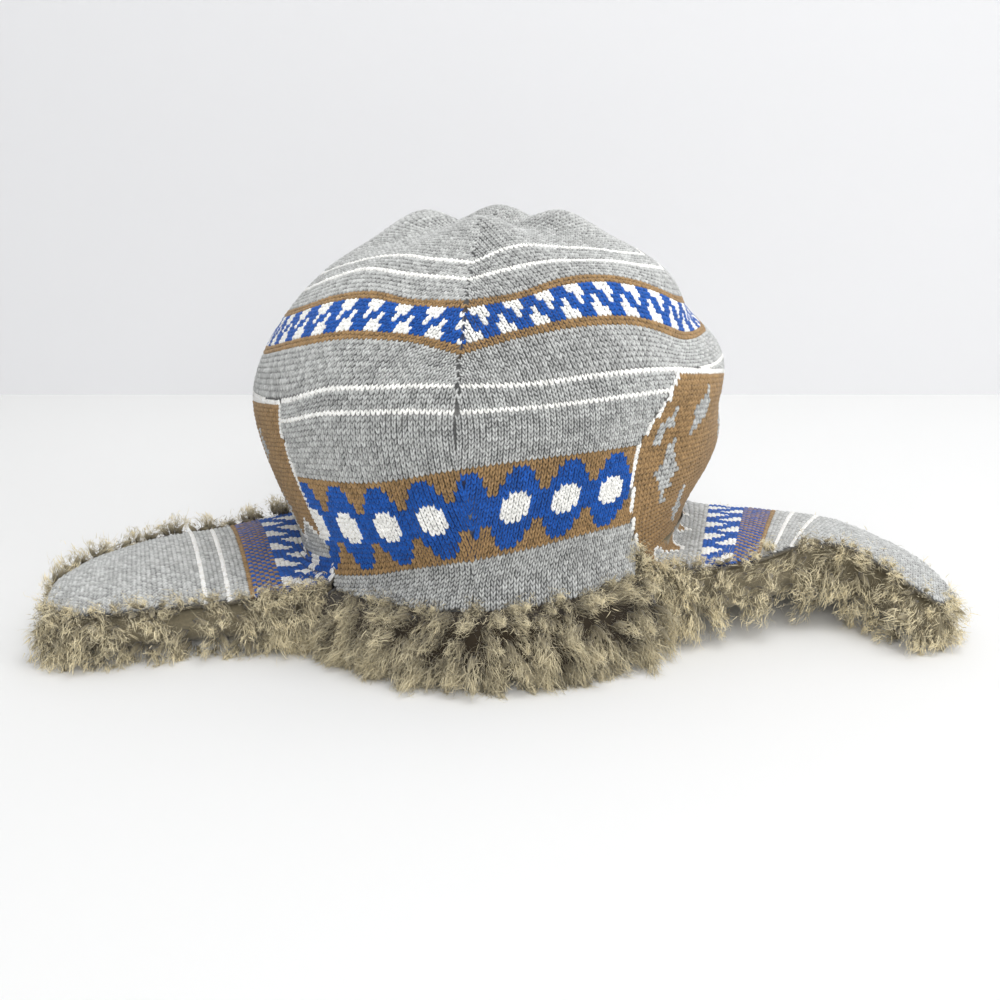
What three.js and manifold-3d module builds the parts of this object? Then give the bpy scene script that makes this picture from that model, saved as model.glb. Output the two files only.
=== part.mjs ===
// A knit trapper hat laid on a table: a crown of sewn gores, two ear panels whose flaps lie spread out
// to the sides, and a deep sherpa lining that shows along every lower edge.
// Millimetres, +Z up. The hat's back faces -Y. Angles round the crown are measured from the back, in
// degrees, and grow towards +X.
import * as THREE from "three";
import { mergeVertices } from "three/addons/utils/BufferGeometryUtils.js";
import Module from "manifold-3d";

const wasm = await Module();
wasm.setup();

// Driving dimensions
const WALL = 3.0; // thickness of the double-knit cloth
const SEAM_GAP = 0.5; // between the cut edges of neighbouring pieces
const CUT_GAP = 0.9; // between an ear panel and the gores it is set into
const TOP_HOLE = 2.5; // radius where the four gores stop short of the crown's middle
const BACK_SEAM = -6.8; // angle of the centre back seam
const GORES = 4;
const LEAN = 0.07; // how much the rim rises towards +X, for each mm of X
const PILE_FLAP = 19; // depth of the sherpa under a flap
const PILE_CROWN = 8; // depth of the sherpa where it turns up inside the crown
const PILE_OVERHANG = 0.02; // how far the pile stands out past a flap's edge, as a share of its width
const PILE_GAP = 0.4; // between the cloth and the pile's backing
const CLOTH_GAP = 0.3; // round the cloth where a lock of pile comes close to it
const PILE_CLEAR = 0.6; // between the flap piles and the roll under the rim
const TURN_UP = 1.5; // crown level up to which the lining turns up inside
const BEND = 14; // handle length of the curve where an ear panel bends out into its flap

// Facets along and across the pieces
const GORE_ROWS = 13;
const GORE_COLUMNS = 8;
const EAR_ROWS = 20;
const EAR_COLUMNS = 7;
const CUT_ROWS = 12;
const PILE_START = 6; // row of an ear strip where the lining begins inside the crown
const RIM_STEPS = 10;

// Names the columns of a short table
const table = (columns, rows) =>
  rows.map((row) => Object.fromEntries(columns.map((name, i) => [name, row[i]])));

// Crown, from the rim to the middle of the top: height and half-widths to the sides, back and front
const CROWN = table(["z", "side", "back", "front"], [
  [26, 85, 104, 99],
  [38, 86, 98, 97],
  [55, 93, 98, 101],
  [75, 100, 101, 105],
  [92, 103, 101, 107],
  [106, 100, 98, 104],
  [120, 92, 90, 97],
  [134, 80.5, 78, 86],
  [146, 66, 62, 69],
  [154.5, 48, 46, 50],
  [159, 30, 29, 31],
  [159.5, 15, 15, 15],
  [157, TOP_HOLE, TOP_HOLE, TOP_HOLE],
]);
const TOP_LEVEL = CROWN.length - 1;

// The seams stand up in a ring of humps round the sunken middle of the top
const HUMP = { rise: 7, radius: 30, spread: 16 };

// Soft dents and bulges: where they are, how far they push the cloth out, and how wide they are
const FOLDS = table(["angle", "level", "push", "angleSpread", "levelSpread"], [
  [62, 5.6, -5, 16, 0.8],
  [40, 3.3, -4, 12, 1.0],
  [84, 4.0, -2, 16, 0.9],
  [-28, 0.8, -4, 16, 0.8],
  [-50, 6.0, 2, 18, 1.2],
]);

// Ear panels: their side edges on the crown from the top edge down, then the flap's near and far edges
// out to the tip. bulge lifts the middle of the flap between its edges. lift is the gap below the pile.
const PANEL_COLUMNS = ["backAngle", "backLevel", "frontAngle", "frontLevel"];
const FLAP_COLUMNS = ["nearX", "nearY", "nearZ", "farX", "farY", "farZ", "bulge", "lift"];
const EARS = [
  {
    name: "left",
    panel: table(PANEL_COLUMNS, [
      [-54, 4.6, -108, 3.7],
      [-52, 3.2, -110, 2.6],
      [-50, 1.9, -111, 1.8],
      [-49, 0.9, -112, 1.0],
    ]),
    flap: table(FLAP_COLUMNS, [
      [-90, -77, 22, -104, 34, 20, 4, 0],
      [-115, -80, 20, -128, 18, 19, 5, 0],
      [-140, -88, 20, -152, 3, 19, 6, 0],
      [-159, -92, 20, -170, -19, 19, 5, 0],
      [-172, -86, 19, -179, -43, 19, 3, 0],
      [-178, -77, 18, -181, -58, 18, 1, 0],
    ]),
  },
  {
    name: "right",
    panel: table(PANEL_COLUMNS, [
      [48, 5.2, 104, 3.7],
      [36, 3.4, 105, 2.6],
      [36, 2.1, 106, 1.8],
      [43, 0.9, 108, 1.0],
    ]),
    flap: table(FLAP_COLUMNS, [
      [84, -68, 31, 108, 38, 24, 3, 4],
      [106, -62, 32, 135, 33, 23, 3, 8],
      [127, -52, 35, 161, 22, 22, 2, 9],
      [145, -48, 34, 177, -4, 21, 1, 7],
      [158, -56, 30, 185, -30, 21, 1, 3],
      [168, -73, 26, 188, -55, 20, 0, 0],
      [178, -86, 22, 187, -74, 20, 0, 0],
    ]),
  },
];

// Section of the pile roll under the rim: distance out from the cloth, and height as a share of the rim's
const ROLL = table(["out", "rise"], [
  [2.5, 0.95],
  [9, 0.88],
  [14, 0.6],
  [15, 0.25],
  [11, 0],
  [-13, 0],
  [-14, 0.5],
]);
const ROLL_BULGE = 10; // where the roll's locks are rooted, out from the cloth

// Locks of pile: half-length, half-width, the steps between them along the edges, and their facets
const LOCK = { long: 10, wide: 7.5, step: 20, sides: 5, rings: 4 };

// Rows of locks: distance out from the edge, height as a share of the cloth's, and how far the tip rises
const LOCK_ROWS = table(["out", "rise", "tip"], [
  [1, 0.52, 0.25],
  [2, 0.2, -0.1],
]);
const FRONT_LOCK_ROWS = table(["out", "rise", "tip"], [[1, 0.36, 0.1]]);

// Smooth curve through the rows of a table, at a row number that may have a fraction
function rowAt(rows, place) {
  const k = THREE.MathUtils.clamp(Math.floor(place), 0, rows.length - 2);
  const u = place - k;
  const blend = (name) => {
    const [b, c] = [rows[k][name], rows[k + 1][name]];
    const a = k > 0 ? rows[k - 1][name] : 2 * b - c;
    const d = k + 2 < rows.length ? rows[k + 2][name] : 2 * c - b;
    return b + 0.5 * u * (c - a + u * (2 * a - 5 * b + 4 * c - d + u * (3 * (b - c) + d - a)));
  };
  return Object.fromEntries(Object.keys(rows[0]).map((name) => [name, blend(name)]));
}

const { lerp: mix, degToRad, radToDeg, smoothstep, euclideanModulo } = THREE.MathUtils;
const gauss = (distance, spread) => Math.exp(-((distance / spread) ** 2));
const turnBetween = (a, b) => euclideanModulo(a - b + 180, 360) - 180;

// A point of the crown's outer face
function crownPoint(angle, level) {
  const phi = degToRad(angle);
  const row = rowAt(CROWN, level);
  let push = 0;
  for (const fold of FOLDS) {
    const beside = gauss(turnBetween(angle, fold.angle), fold.angleSpread);
    push += fold.push * beside * gauss(level - fold.level, fold.levelSpread);
  }
  const x = (row.side + push) * Math.sin(phi);
  const y = -((Math.cos(phi) > 0 ? row.back : row.front) + push) * Math.cos(phi);
  const onSeam = Math.cos((GORES / 2) * (phi - degToRad(BACK_SEAM))) ** 2;
  const hump = HUMP.rise * gauss(Math.hypot(x, y) - HUMP.radius, HUMP.spread) * onSeam;
  return new THREE.Vector3(x, y, row.z + hump + LEAN * x * (1 - level / TOP_LEVEL));
}

// A point of a surface, moved along the surface's normal
function offsetPoint(surface, u, v, distance, du = 0.01, dv = 0.01) {
  const alongU = surface(u + du, v).sub(surface(u - du, v));
  const alongV = surface(u, v + dv).sub(surface(u, v - dv));
  return surface(u, v).addScaledVector(alongU.cross(alongV).normalize(), distance);
}

const crownOffset = (angle, level, out) => offsetPoint(crownPoint, angle, level, out);

// Grid of points: rows of points across, one row for each step along
const grid = (rows, columns, pointAt) =>
  Array.from({ length: rows + 1 }, (_, i) =>
    Array.from({ length: columns + 1 }, (_, j) => pointAt(j / columns, i / rows)),
  );

// Closes two facing grids into one wall
function wallSolid(face, back) {
  const rows = face.length;
  const columns = face[0].length;
  const points = [...face.flat(), ...back.flat()];
  const at = (side, i, j) => side * rows * columns + i * columns + j;
  const index = [];
  const quad = (a, b, c, d) => index.push(a, b, c, a, c, d);
  for (let i = 0; i + 1 < rows; i++) {
    for (let j = 0; j + 1 < columns; j++) {
      quad(at(0, i, j), at(0, i, j + 1), at(0, i + 1, j + 1), at(0, i + 1, j));
      quad(at(1, i, j), at(1, i + 1, j), at(1, i + 1, j + 1), at(1, i, j + 1));
    }
  }
  const [r, c] = [rows - 1, columns - 1];
  for (let i = 0; i < r; i++) {
    quad(at(0, i, 0), at(0, i + 1, 0), at(1, i + 1, 0), at(1, i, 0));
    quad(at(0, i + 1, c), at(0, i, c), at(1, i, c), at(1, i + 1, c));
  }
  for (let j = 0; j < c; j++) {
    quad(at(0, 0, j + 1), at(0, 0, j), at(1, 0, j), at(1, 0, j + 1));
    quad(at(0, r, j), at(0, r, j + 1), at(1, r, j + 1), at(1, r, j));
  }
  return facingOut(points, index);
}

// Closes a row of like sections into one bar
function barSolid(sections, contour) {
  const count = contour.length;
  const last = (sections.length - 1) * count;
  const index = [];
  for (let i = 0; i < last; i += count) {
    for (let j = 0; j < count; j++) {
      const [a, b] = [i + j, i + ((j + 1) % count)];
      index.push(a, b, b + count, a, b + count, a + count);
    }
  }
  const turn = THREE.ShapeUtils.isClockWise(contour) ? [2, 1, 0] : [0, 1, 2];
  for (const cap of THREE.ShapeUtils.triangulateShape(contour, [])) {
    const [a, b, c] = turn.map((k) => cap[k]);
    index.push(c, b, a, last + a, last + b, last + c);
  }
  return facingOut(sections.flat(), index);
}

// A solid from shared points and triangles, turned so that its faces point out
function facingOut(points, index) {
  let volume = 0;
  for (let i = 0; i < index.length; i += 3) {
    const [a, b, c] = [points[index[i]], points[index[i + 1]], points[index[i + 2]]];
    volume += a.dot(b.clone().cross(c));
  }
  const triVerts = new Uint32Array(volume > 0 ? index : index.toReversed());
  const vertProperties = new Float32Array(points.flatMap((p) => p.toArray()));
  return new wasm.Manifold(new wasm.Mesh({ numProp: 3, vertProperties, triVerts }));
}

// Crown gore between two seams, from the rim up, or the space round it
function goreSolid(number, grow = -SEAM_GAP / 2) {
  const first = BACK_SEAM + (number * 360) / GORES;
  const thicker = Math.max(grow, 0);
  const face = (out) =>
    grid(GORE_ROWS, GORE_COLUMNS, (u, v) => {
      const level = mix(-thicker / 12, TOP_LEVEL, v);
      const more = radToDeg(grow / rowAt(CROWN, level).side);
      return crownOffset(mix(first - more, first + 360 / GORES + more, u), level, out);
    });
  return wallSolid(face(thicker), face(-WALL - thicker));
}

// The part of an ear strip that lies on the crown
function panelPoint(ear, across, down) {
  const row = rowAt(ear.panel, down * (ear.panel.length - 1));
  return crownPoint(mix(row.backAngle, row.frontAngle, across), mix(row.backLevel, row.frontLevel, across));
}

// The part of an ear strip that lies out on the table
function flapPoint(ear, across, outward) {
  const row = rowAt(ear.flap, outward * (ear.flap.length - 1));
  const near = new THREE.Vector3(row.nearX, row.nearY, row.nearZ);
  const far = new THREE.Vector3(row.farX, row.farY, row.farZ);
  const point = near.lerp(far, across);
  point.z += row.bulge * 4 * across * (1 - across);
  return point;
}

// Outer face of an ear strip: across from its back edge to its front edge, and along from the top edge
// on the crown (0) to the bend (1 to 2) and out to the flap's tip (3)
function earPoint(ear, across, along) {
  if (along <= 1) return panelPoint(ear, across, along);
  if (along >= 2) return flapPoint(ear, across, along - 2);
  const start = panelPoint(ear, across, 1);
  const down = start.clone().sub(panelPoint(ear, across, 0.98)).setLength(BEND);
  const end = flapPoint(ear, across, 0);
  const back = end.clone().sub(flapPoint(ear, across, 0.02)).setLength(BEND);
  return new THREE.CubicBezierCurve3(start, down.add(start), back.add(end), end).getPoint(along - 1);
}

const earOffset = (ear, across, along, out) =>
  offsetPoint((u, v) => earPoint(ear, u, v), across, along, ear.name === "left" ? out : -out);

// Moves only the two ends of a 0 to 1 share outwards
const widen = (share, more) => (share === 0 ? -more : share === 1 ? 1 + more : share);

// Knitted ear strip, or the space round it
function earSolid(ear, grow = 0) {
  const across = (u) => widen(u, grow / 60);
  const along = (v) => 3 * widen(v, grow / 100);
  const face = (out) => grid(EAR_ROWS, EAR_COLUMNS, (u, v) => earOffset(ear, across(u), along(v), out));
  return wallSolid(face(grow), face(-WALL - grow));
}

// Space that an ear strip takes out of the crown, with a gap round it
function earCutter(ear) {
  const face = (out) =>
    grid(CUT_ROWS, EAR_COLUMNS, (u, v) => {
      const down = mix(-0.025, 1.4, v);
      const row = rowAt(ear.panel, down * (ear.panel.length - 1));
      const gap = Math.sign(row.frontAngle - row.backAngle) * radToDeg(CUT_GAP / 100);
      const angle = mix(row.backAngle - gap, row.frontAngle + gap, u);
      return crownOffset(angle, mix(row.backLevel, row.frontLevel, u), out);
    });
  return wallSolid(face(4), face(-8));
}

// One lock of pile: a drop that bends to one side, pointing along a direction
function lockSolid(centre, direction, number, grow) {
  const ball = new THREE.SphereGeometry(1, LOCK.sides, LOCK.rings);
  const shape = mergeVertices(ball.deleteAttribute("normal").deleteAttribute("uv"));
  const size = 1 + 0.25 * wander(number, 0.3);
  const bend = 0.4 * LOCK.long * wander(number, 0.6);
  const position = shape.getAttribute("position");
  const points = Array.from({ length: position.count }, (_, i) => {
    const p = new THREE.Vector3().fromBufferAttribute(position, i);
    const width = (1 - 0.3 * p.y) * LOCK.wide * size + grow;
    p.set(p.x * width + bend * p.y * Math.abs(p.y), p.y * (LOCK.long * size + grow), p.z * width);
    return p.applyQuaternion(turnTo(direction)).add(centre);
  });
  return facingOut(points, Array.from(shape.getIndex().array));
}

const turnTo = (direction) =>
  new THREE.Quaternion().setFromUnitVectors(new THREE.Vector3(0, 1, 0), direction.clone().normalize());

// Repeatable scatter between -1 and 1
const wander = (number, key) => 2 * ((number * 0.618034 + key * 7.13) % 1) - 1;

// Locks spread along an edge: edgeAt gives a point, the way out from it and the height of the cloth there
function locksAlong(edgeAt, length, grow, rows = LOCK_ROWS) {
  const count = Math.round(length / LOCK.step);
  return rows.flatMap((row, k) =>
    Array.from({ length: count }, (_, i) => {
      const number = i + k * 31;
      const { point, out, top, bottom } = edgeAt((i + 0.5 + 0.25 * wander(number, 0.1)) / count);
      const centre = point.clone().addScaledVector(out, row.out + wander(number, 0.8));
      centre.z = mix(bottom, top, row.rise);
      const side = new THREE.Vector3(-out.y, out.x, 0);
      const way = out.clone().multiplyScalar(0.8).addScaledVector(side, 0.7 * wander(number, 0.5));
      way.z = row.tip + 0.3 * wander(number, 0.9);
      return lockSolid(centre, way, number, grow);
    }),
  );
}

// Locks joined to their backing and pressed flat where they rest
const fused = (backing, locks, floor) => wasm.Manifold.union([backing, ...locks]).trimByPlane([0, 0, 1], floor);

// Pile under a flap: it turns up inside the crown, fills the bend and stands out past the flap's edges
function flapPile(ear, grow) {
  const lift = (along) => rowAt(ear.flap, Math.max(0, along - 2) * (ear.flap.length - 1)).lift;
  const past = (along) => mix(-0.012, PILE_OVERHANG, smoothstep(along, 1.2, 2)) + grow / 60;
  const depth = (along) => mix(PILE_CROWN, PILE_FLAP, smoothstep(along, 0.9, 2));
  const rows = EAR_ROWS - PILE_START;
  const ends = { 0: -grow / 15, 1: 0.03 };
  const face = (under) =>
    grid(rows, EAR_COLUMNS, (u, v) => {
      const along = (3 * (PILE_START + rows * v)) / EAR_ROWS + (ends[v] ?? 0);
      const out = under ? -WALL - PILE_GAP - depth(along) - grow : -WALL - PILE_GAP + grow;
      const point = earOffset(ear, widen(u, past(along)), along, out);
      if (under) point.z = Math.max(point.z, lift(along) > 0.5 ? lift(along) - grow : -2);
      return point;
    });
  const edge = (across, from, to) => (share) => {
    const along = mix(from, to, share);
    const point = earPoint(ear, across, along);
    const out = point.clone().sub(earPoint(ear, 0.5, Math.min(along, 2.9))).setZ(0).normalize();
    return { point, out, top: point.z, bottom: lift(along) };
  };
  const tip = (share) => {
    const point = earPoint(ear, mix(-PILE_OVERHANG, 1 + PILE_OVERHANG, share), 2.95);
    const out = point.clone().sub(earPoint(ear, 0.5, 2.7)).setZ(0).normalize();
    return { point, out, top: point.z, bottom: 0 };
  };
  const locks = [
    ...locksAlong(edge(-PILE_OVERHANG, 1.8, 2.92), 105, grow),
    ...locksAlong(edge(1 + PILE_OVERHANG, 1.9, 2.92), 105, grow, FRONT_LOCK_ROWS),
    ...locksAlong(tip, 32, grow),
  ];
  return fused(wallSolid(face(false), face(true)), locks, grow ? -1 : 0);
}

// Outward direction, level with the table, at an angle of the rim
const rimOut = (angle) => crownOffset(angle, 0.2, 1).sub(crownPoint(angle, 0.2)).setZ(0).normalize();

// Pile roll under the rim between two angles, with a strip that turns up inside the crown
function rimPile(from, to, lockRows) {
  const section = (angle) => {
    const rim = crownPoint(angle, 0);
    const out = rimOut(angle);
    const strip = [TURN_UP, TURN_UP / 2, 0.05].map((level) => crownOffset(angle, level, -WALL - PILE_GAP));
    const roll = ROLL.map((row) => rim.clone().addScaledVector(out, row.out).setZ(rim.z * row.rise));
    return [...strip, ...roll, crownOffset(angle, TURN_UP, -WALL - PILE_GAP - PILE_CROWN)];
  };
  const sections = Array.from({ length: RIM_STEPS + 1 }, (_, i) => section(mix(from, to, i / RIM_STEPS)));
  const out = rimOut(from);
  const contour = sections[0].map((p) => new THREE.Vector2(p.dot(out), p.z));
  const edge = (share) => {
    const angle = mix(from, to, mix(0.03, 0.97, share));
    const rim = crownPoint(angle, 0);
    const out = rimOut(angle);
    return { point: rim.clone().addScaledVector(out, ROLL_BULGE), out, top: rim.z, bottom: 0 };
  };
  const length = (degToRad(to - from) * (CROWN[0].side + CROWN[0].back)) / 2 + ROLL_BULGE;
  return fused(barSolid(sections, contour), locksAlong(edge, length, 0, lockRows), 0);
}

const [left, right] = EARS;
const clear = (solid, ...spaces) => spaces.reduce((rest, space) => rest.subtract(space), solid);
const cutters = EARS.map(earCutter);
const cloth = [
  ...[0, 1, 2, 3].map((number) => goreSolid(number, CLOTH_GAP)),
  ...EARS.map((ear) => earSolid(ear, CLOTH_GAP)),
];
const piles = EARS.map((ear) => flapPile(ear, PILE_CLEAR));
const edgeOf = (ear) => ear.panel[ear.panel.length - 1];
const neck = rimPile(edgeOf(left).backAngle, edgeOf(right).backAngle, LOCK_ROWS);
const brow = rimPile(edgeOf(right).frontAngle, edgeOf(left).frontAngle + 360, FRONT_LOCK_ROWS);

const KNIT = { color: 0x9b9c9a, roughness: 0.95, metalness: 0 };
const EAR_KNIT = { color: 0xa08a6c, roughness: 0.95, metalness: 0 };
const SHERPA = { color: 0x8b8068, roughness: 1, metalness: 0 };

const PIECES = table(["name", "solid", "look"], [
  ["crown_back_right", clear(goreSolid(0), ...cutters), KNIT],
  ["crown_front_right", clear(goreSolid(1), ...cutters), KNIT],
  ["crown_front_left", clear(goreSolid(2), ...cutters), KNIT],
  ["crown_back_left", clear(goreSolid(3), ...cutters), KNIT],
  ["ear_flap_left", earSolid(left), EAR_KNIT],
  ["ear_flap_right", earSolid(right), EAR_KNIT],
  ["sherpa_neck", clear(neck, ...cloth, ...piles), SHERPA],
  ["sherpa_brow", clear(brow, ...cloth, ...piles), SHERPA],
  ["sherpa_flap_left", clear(flapPile(left, 0), ...cloth), SHERPA],
  ["sherpa_flap_right", clear(flapPile(right, 0), ...cloth), SHERPA],
]);

// Mesh of a solid, in its own colour
function pieceMesh({ name, solid, look }) {
  const { vertProperties, triVerts } = solid.getMesh();
  const geometry = new THREE.BufferGeometry();
  geometry.setAttribute("position", new THREE.BufferAttribute(vertProperties, 3));
  geometry.setIndex(new THREE.BufferAttribute(triVerts, 1));
  const mesh = new THREE.Mesh(geometry, new THREE.MeshStandardMaterial(look));
  mesh.name = name;
  return mesh;
}

const hat = new THREE.Group();
hat.name = "knit_trapper_hat";
hat.add(...PIECES.map(pieceMesh));

// The origin is the middle of the hat's box, on the table
const box = new THREE.Box3().setFromObject(hat);
const middle = box.getCenter(new THREE.Vector3());
hat.children.forEach((mesh) => mesh.geometry.translate(-middle.x, -middle.y, -box.min.z));

export default hat;
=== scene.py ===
# %% [markdown]
# # A knit trapper hat, stitch by stitch
#
# The hat lies on a table with its back to us. Its crown is sewn from four knitted gores, two ear flaps
# lie spread out to the sides, and a deep sherpa lining shows along every lower edge. The CAD frame
# already holds the main forms, so this lesson gives each piece its surface: real V-shaped stitches
# laid row by row on the cloth, and thousands of curved hairs on the sherpa.

# %% Load the frame
import math

import bpy
import numpy as np
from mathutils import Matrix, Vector


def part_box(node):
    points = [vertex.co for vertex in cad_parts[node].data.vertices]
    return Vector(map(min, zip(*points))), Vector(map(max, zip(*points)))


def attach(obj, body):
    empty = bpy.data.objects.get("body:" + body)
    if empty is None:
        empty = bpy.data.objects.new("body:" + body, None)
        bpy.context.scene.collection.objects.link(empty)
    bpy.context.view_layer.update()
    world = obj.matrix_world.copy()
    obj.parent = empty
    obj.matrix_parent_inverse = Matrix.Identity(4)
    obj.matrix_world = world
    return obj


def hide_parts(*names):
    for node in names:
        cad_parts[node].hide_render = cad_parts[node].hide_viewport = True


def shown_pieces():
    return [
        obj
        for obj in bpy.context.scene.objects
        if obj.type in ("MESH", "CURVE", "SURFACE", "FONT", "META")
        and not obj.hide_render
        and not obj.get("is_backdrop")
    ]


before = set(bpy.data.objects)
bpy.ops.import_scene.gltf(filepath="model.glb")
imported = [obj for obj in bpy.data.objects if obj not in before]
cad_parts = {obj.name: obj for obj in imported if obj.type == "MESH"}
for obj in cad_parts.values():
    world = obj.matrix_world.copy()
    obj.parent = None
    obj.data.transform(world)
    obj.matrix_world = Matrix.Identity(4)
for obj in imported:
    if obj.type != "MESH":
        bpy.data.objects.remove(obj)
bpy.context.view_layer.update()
print("nodes in the frame:", sorted(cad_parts))

# %% [markdown]
# ## The form of the crown
#
# A crown is easiest to describe by a few level rings: a height and three half-widths. A smooth curve
# through those rows gives any level in between, and a few soft dents push the cloth in or out. We keep
# the same millimetre tables as the CAD part, because stitches must sit exactly on its outer face. Only the
# last three folds are new: finer dents of the knitted surface. Angles are measured from the back of the
# hat and grow to the right.

# %% Crown
CROWN = np.array([  # height, side, back, front
    (26, 85, 104, 99),
    (38, 86, 98, 97),
    (55, 93, 98, 101),
    (75, 100, 101, 105),
    (92, 103, 101, 107),
    (106, 100, 98, 104),
    (120, 92, 90, 97),
    (134, 80.5, 78, 86),
    (146, 66, 62, 69),
    (154.5, 48, 46, 50),
    (159, 30, 29, 31),
    (159.5, 15, 15, 15),
    (157, 2.5, 2.5, 2.5),
], float)
FOLDS = np.array([  # angle, level, push, angle spread, level spread
    (62, 5.6, -5, 16, 0.8),
    (40, 3.3, -4, 12, 1.0),
    (84, 4.0, -2, 16, 0.9),
    (-28, 0.8, -4, 16, 0.8),
    (-50, 6.0, 2, 18, 1.2),
    (88, 6.1, -6, 20, 0.8),
    (95, 3.5, -3.5, 25, 0.55),
    (95, 2.2, 4, 25, 0.8),
], float)
TOP_LEVEL = len(CROWN) - 1
BACK_SEAM = -6.8
LEAN = 0.07
HUMP_RISE, HUMP_RADIUS, HUMP_SPREAD = 7, 30, 16


def row_at(rows, place):
    """Smooth curve through the rows of a table."""
    place = np.asarray(place, float)
    padded = np.vstack([2 * rows[0] - rows[1], rows, 2 * rows[-1] - rows[-2]])
    first = np.clip(np.floor(place).astype(int), 0, len(rows) - 2)
    u = (place - first)[..., None]
    a, b, c, d = (padded[first + i] for i in range(4))
    return b + 0.5 * u * (c - a + u * (2 * a - 5 * b + 4 * c - d + u * (3 * (b - c) + d - a)))


def bell(x, spread):
    return np.exp(-((x / spread) ** 2))


def crown_point(angle, level):
    angle, level = np.broadcast_arrays(np.asarray(angle, float), np.asarray(level, float))
    phi = np.radians(angle)
    z, side, back, front = np.moveaxis(row_at(CROWN, level), -1, 0)
    push = sum(
        out * bell((angle - at + 180) % 360 - 180, wide) * bell(level - height, tall)
        for at, height, out, wide, tall in FOLDS
    )
    x = (side + push) * np.sin(phi)
    y = -(np.where(np.cos(phi) > 0, back, front) + push) * np.cos(phi)
    on_seam = np.cos(2 * (phi - math.radians(BACK_SEAM))) ** 2
    hump = HUMP_RISE * bell(np.hypot(x, y) - HUMP_RADIUS, HUMP_SPREAD) * on_seam
    return np.stack([x, y, z + hump + LEAN * x * (1 - level / TOP_LEVEL)], -1)


print("crown height at the back, mm:", crown_point(BACK_SEAM, TOP_LEVEL - 3)[2].round(1))

# %% [markdown]
# ## The form of the ear flaps
#
# Each ear flap is one long knitted strip. It starts as a panel on the side of the crown, bends at the
# rim and lies out on the table to a round tip. A short table of edges is enough for each part, and a
# Bezier curve makes the bend, so the strip is one smooth surface from 0 at the top to 3 at the tip.

# %% Ear strips
EARS = {
    "left": dict(
        sign=1,
        panel=np.array([  # back angle, back level, front angle, front level
            (-54, 4.6, -108, 3.7),
            (-52, 3.2, -110, 2.6),
            (-50, 1.9, -111, 1.8),
            (-49, 0.9, -112, 1.0),
        ], float),
        flap=np.array([  # near edge x y z, far edge x y z, bulge, lift off the table
            (-90, -77, 22, -104, 34, 20, 4, 0),
            (-115, -80, 20, -128, 18, 19, 5, 0),
            (-140, -88, 20, -152, 3, 19, 6, 0),
            (-159, -92, 20, -170, -19, 19, 5, 0),
            (-172, -86, 19, -179, -43, 19, 3, 0),
            (-178, -77, 18, -181, -58, 18, 1, 0),
        ], float),
    ),
    "right": dict(
        sign=-1,
        panel=np.array([
            (48, 5.2, 104, 3.7),
            (36, 3.4, 105, 2.6),
            (36, 2.1, 106, 1.8),
            (43, 0.9, 108, 1.0),
        ], float),
        flap=np.array([
            (84, -68, 31, 108, 38, 24, 3, 4),
            (106, -62, 32, 135, 33, 23, 3, 8),
            (127, -52, 35, 161, 22, 22, 2, 9),
            (145, -48, 34, 177, -4, 21, 1, 7),
            (158, -56, 30, 185, -30, 21, 1, 3),
            (168, -73, 26, 188, -55, 20, 0, 0),
            (178, -86, 22, 187, -74, 20, 0, 0),
        ], float),
    ),
}
BEND = 14.0


def unit(v):
    return v / np.maximum(np.linalg.norm(v, axis=-1, keepdims=True), 1e-9)


def panel_point(ear, across, down):
    row = row_at(ear["panel"], np.asarray(down) * (len(ear["panel"]) - 1))
    back_angle, back_level, front_angle, front_level = np.moveaxis(row, -1, 0)
    angle = back_angle + (front_angle - back_angle) * across
    return crown_point(angle, back_level + (front_level - back_level) * across)


def flap_row(ear, out):
    return row_at(ear["flap"], np.asarray(out) * (len(ear["flap"]) - 1))


def flap_point(ear, across, out):
    row = flap_row(ear, out)
    across = np.asarray(across)[..., None]
    point = row[..., 0:3] + (row[..., 3:6] - row[..., 0:3]) * across
    point[..., 2] += row[..., 6] * 4 * across[..., 0] * (1 - across[..., 0])
    return point


def ear_point(ear, across, along):
    across, along = np.broadcast_arrays(np.asarray(across, float), np.asarray(along, float))
    one = np.ones_like(along)
    start = panel_point(ear, across, one)
    end = flap_point(ear, across, 0 * one)
    down = start + BEND * unit(start - panel_point(ear, across, 0.98 * one))
    back = end + BEND * unit(end - flap_point(ear, across, 0.02 * one))
    t = np.clip(along - 1, 0, 1)[..., None]
    bend = (1 - t) ** 3 * start + 3 * (1 - t) ** 2 * t * down + 3 * (1 - t) * t**2 * back + t**3 * end
    on_panel = panel_point(ear, across, np.minimum(along, 1))
    on_flap = flap_point(ear, across, np.maximum(along - 2, 0))
    along = along[..., None]
    return np.where(along <= 1, on_panel, np.where(along >= 2, on_flap, bend))


def grid_normals(points):
    return unit(np.cross(np.gradient(points, axis=1), np.gradient(points, axis=0)))


# %% [markdown]
# ## One shared frame
#
# The tables have their origin under the middle of the crown, while the CAD frame has it under the middle
# of the whole hat. Comparing one piece's box in both tells how far to move. Everything is built in
# millimetres and turned into Blender's metres at the very end.

# %% Shift to the frame
MM = 0.001
across, along = np.meshgrid(np.linspace(0, 1, 8), np.linspace(0, 3, 21))
strip = ear_point(EARS["left"], across, along)
low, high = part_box("ear_flap_left")
form_corner = np.array([strip[..., 0].min(), strip[..., 1].max(), 0])
shift = np.array([low.x, high.y, 0]) / MM - form_corner
print("form to frame, mm:", shift.round(2))


def to_frame(points):
    return (np.asarray(points) + shift) * MM


# %% [markdown]
# ## Camera, floor and light
#
# The photo looks down at the hat by 17 degrees from behind, against a bright white room. A pale
# world and a wide light overhead keep the shadows soft, a light from the camera's side fills them and a
# weak one from the right shapes the crown. The wall shows only its front, so that the hat can also be
# looked at from the other side.

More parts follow.
